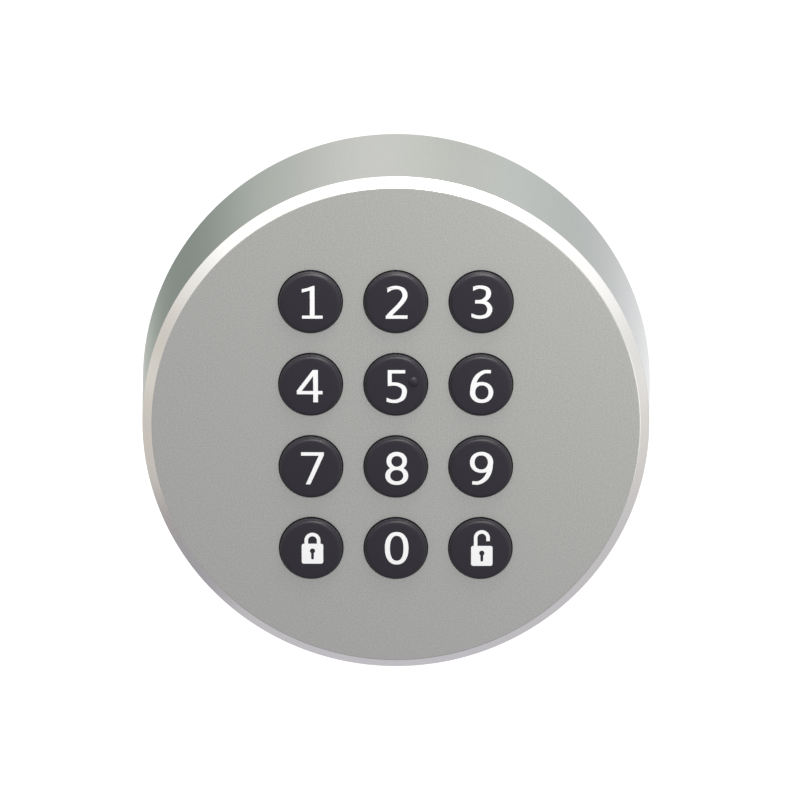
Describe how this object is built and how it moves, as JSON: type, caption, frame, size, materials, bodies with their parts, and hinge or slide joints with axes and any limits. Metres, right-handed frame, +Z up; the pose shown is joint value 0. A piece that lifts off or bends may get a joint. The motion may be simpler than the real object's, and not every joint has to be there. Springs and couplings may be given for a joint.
{
  "type": "keypad smart lock",
  "caption": "Round metal keypad unit of a battery smart lock: sprung round keys in a square grid, push-on housing, wall plate with collar and O-ring.",
  "frame": {"origin": "centre of the wall plate's rear face, which lies on the wall or door", "axes": "+Z up the wall, -Y out of the wall towards the user, +Y into the wall, +X to the user's right"},
  "size_m": [0.08, 0.0297, 0.08],
  "materials": {
    "housing_metal": "fine bead-blasted and clear anodised face, satin side wall, bright turned chamfer",
    "key_plastic": "charcoal, soft-touch satin, with white characters on the tops",
    "key_marking": "white translucent characters and padlock signs on the key tops, satin",
    "mat_silicone": "milky matt silicone",
    "board_laminate": "green solder mask with tinned pads, satin",
    "light_resin": "cast white lamp resin, gloss",
    "chip_plastic": "moulded black epoxy, matt",
    "can_metal": "tin plated shielding can, satin",
    "header_plastic": "natural nylon, satin",
    "frame_plastic": "black moulded plastic, fine spark texture",
    "cell_jacket": "film jacket over a steel can, satin, metal ends",
    "contact_metal": "nickel plated spring steel, bright",
    "screw_steel": "zinc plated or stainless steel, satin",
    "plate_plastic": "dark grey moulded plastic, fine texture",
    "seal_rubber": "black rubber, matt"
  },
  "bodies": {
    "wall_side": {"wall_plate": "plate_plastic", "wall_gasket": "seal_rubber", "collar_o_ring": "seal_rubber"},
    "keypad": {"battery_1": "cell_jacket", "battery_2": "cell_jacket", "battery_3": "cell_jacket", "battery_4": "cell_jacket", "battery_spring_1": "contact_metal", "battery_spring_2": "contact_metal", "battery_spring_3": "contact_metal", "battery_spring_4": "contact_metal", "contact_bridge_lower_left": "contact_metal", "contact_bridge_lower_right": "contact_metal", "contact_bridge_upper": "contact_metal", "contact_negative": "contact_metal", "contact_positive": "contact_metal", "frame_screw_1": "screw_steel", "frame_screw_2": "screw_steel", "frame_screw_3": "screw_steel", "frame_screw_4": "screw_steel", "front_housing": "housing_metal", "key_light_1": "light_resin", "key_light_2": "light_resin", "key_light_3": "light_resin", "key_light_4": "light_resin", "key_light_5": "light_resin", "key_light_6": "light_resin", "key_mat": "mat_silicone", "main_board": "board_laminate", "microcontroller": "chip_plastic", "radio_module": "can_metal", "rear_frame": "frame_plastic", "service_header": "header_plastic", "sounder": "chip_plastic"},
    "lock_screw_body": {"lock_screw": "screw_steel"},
    "cap_0": {"key_0": "key_plastic"},
    "cap_1": {"key_1": "key_plastic"},
    "cap_2": {"key_2": "key_plastic"},
    "cap_3": {"key_3": "key_plastic"},
    "cap_4": {"key_4": "key_plastic"},
    "cap_5": {"key_5": "key_plastic"},
    "cap_6": {"key_6": "key_plastic"},
    "cap_7": {"key_7": "key_plastic"},
    "cap_8": {"key_8": "key_plastic"},
    "cap_9": {"key_9": "key_plastic"},
    "cap_lock": {"key_lock": "key_plastic"},
    "cap_unlock": {"key_unlock": "key_plastic"}
  },
  "joints": [
    {"name": "housing_release", "type": "slide", "parent": "wall_side", "child": "keypad", "axis": [0, -1, 0], "range_m": [0, 0.04]},
    {"name": "lock_screw_travel", "type": "slide", "parent": "keypad", "child": "lock_screw_body", "axis": [0, 0, -1], "range_m": [0, 0.003]},
    {"name": "press_0", "type": "slide", "parent": "keypad", "child": "cap_0", "axis": [0, 1, 0], "range_m": [0, 0.001], "stiffness_N_per_m": 1600, "deforming": ["key_mat"]},
    {"name": "press_1", "type": "slide", "parent": "keypad", "child": "cap_1", "axis": [0, 1, 0], "range_m": [0, 0.001], "stiffness_N_per_m": 1600, "deforming": ["key_mat"]},
    {"name": "press_2", "type": "slide", "parent": "keypad", "child": "cap_2", "axis": [0, 1, 0], "range_m": [0, 0.001], "stiffness_N_per_m": 1600, "deforming": ["key_mat"]},
    {"name": "press_3", "type": "slide", "parent": "keypad", "child": "cap_3", "axis": [0, 1, 0], "range_m": [0, 0.001], "stiffness_N_per_m": 1600, "deforming": ["key_mat"]},
    {"name": "press_4", "type": "slide", "parent": "keypad", "child": "cap_4", "axis": [0, 1, 0], "range_m": [0, 0.001], "stiffness_N_per_m": 1600, "deforming": ["key_mat"]},
    {"name": "press_5", "type": "slide", "parent": "keypad", "child": "cap_5", "axis": [0, 1, 0], "range_m": [0, 0.001], "stiffness_N_per_m": 1600, "deforming": ["key_mat"]},
    {"name": "press_6", "type": "slide", "parent": "keypad", "child": "cap_6", "axis": [0, 1, 0], "range_m": [0, 0.001], "stiffness_N_per_m": 1600, "deforming": ["key_mat"]},
    {"name": "press_7", "type": "slide", "parent": "keypad", "child": "cap_7", "axis": [0, 1, 0], "range_m": [0, 0.001], "stiffness_N_per_m": 1600, "deforming": ["key_mat"]},
    {"name": "press_8", "type": "slide", "parent": "keypad", "child": "cap_8", "axis": [0, 1, 0], "range_m": [0, 0.001], "stiffness_N_per_m": 1600, "deforming": ["key_mat"]},
    {"name": "press_9", "type": "slide", "parent": "keypad", "child": "cap_9", "axis": [0, 1, 0], "range_m": [0, 0.001], "stiffness_N_per_m": 1600, "deforming": ["key_mat"]},
    {"name": "press_lock", "type": "slide", "parent": "keypad", "child": "cap_lock", "axis": [0, 1, 0], "range_m": [0, 0.001], "stiffness_N_per_m": 1600, "deforming": ["key_mat"]},
    {"name": "press_unlock", "type": "slide", "parent": "keypad", "child": "cap_unlock", "axis": [0, 1, 0], "range_m": [0, 0.001], "stiffness_N_per_m": 1600, "deforming": ["key_mat"]}
  ]
}
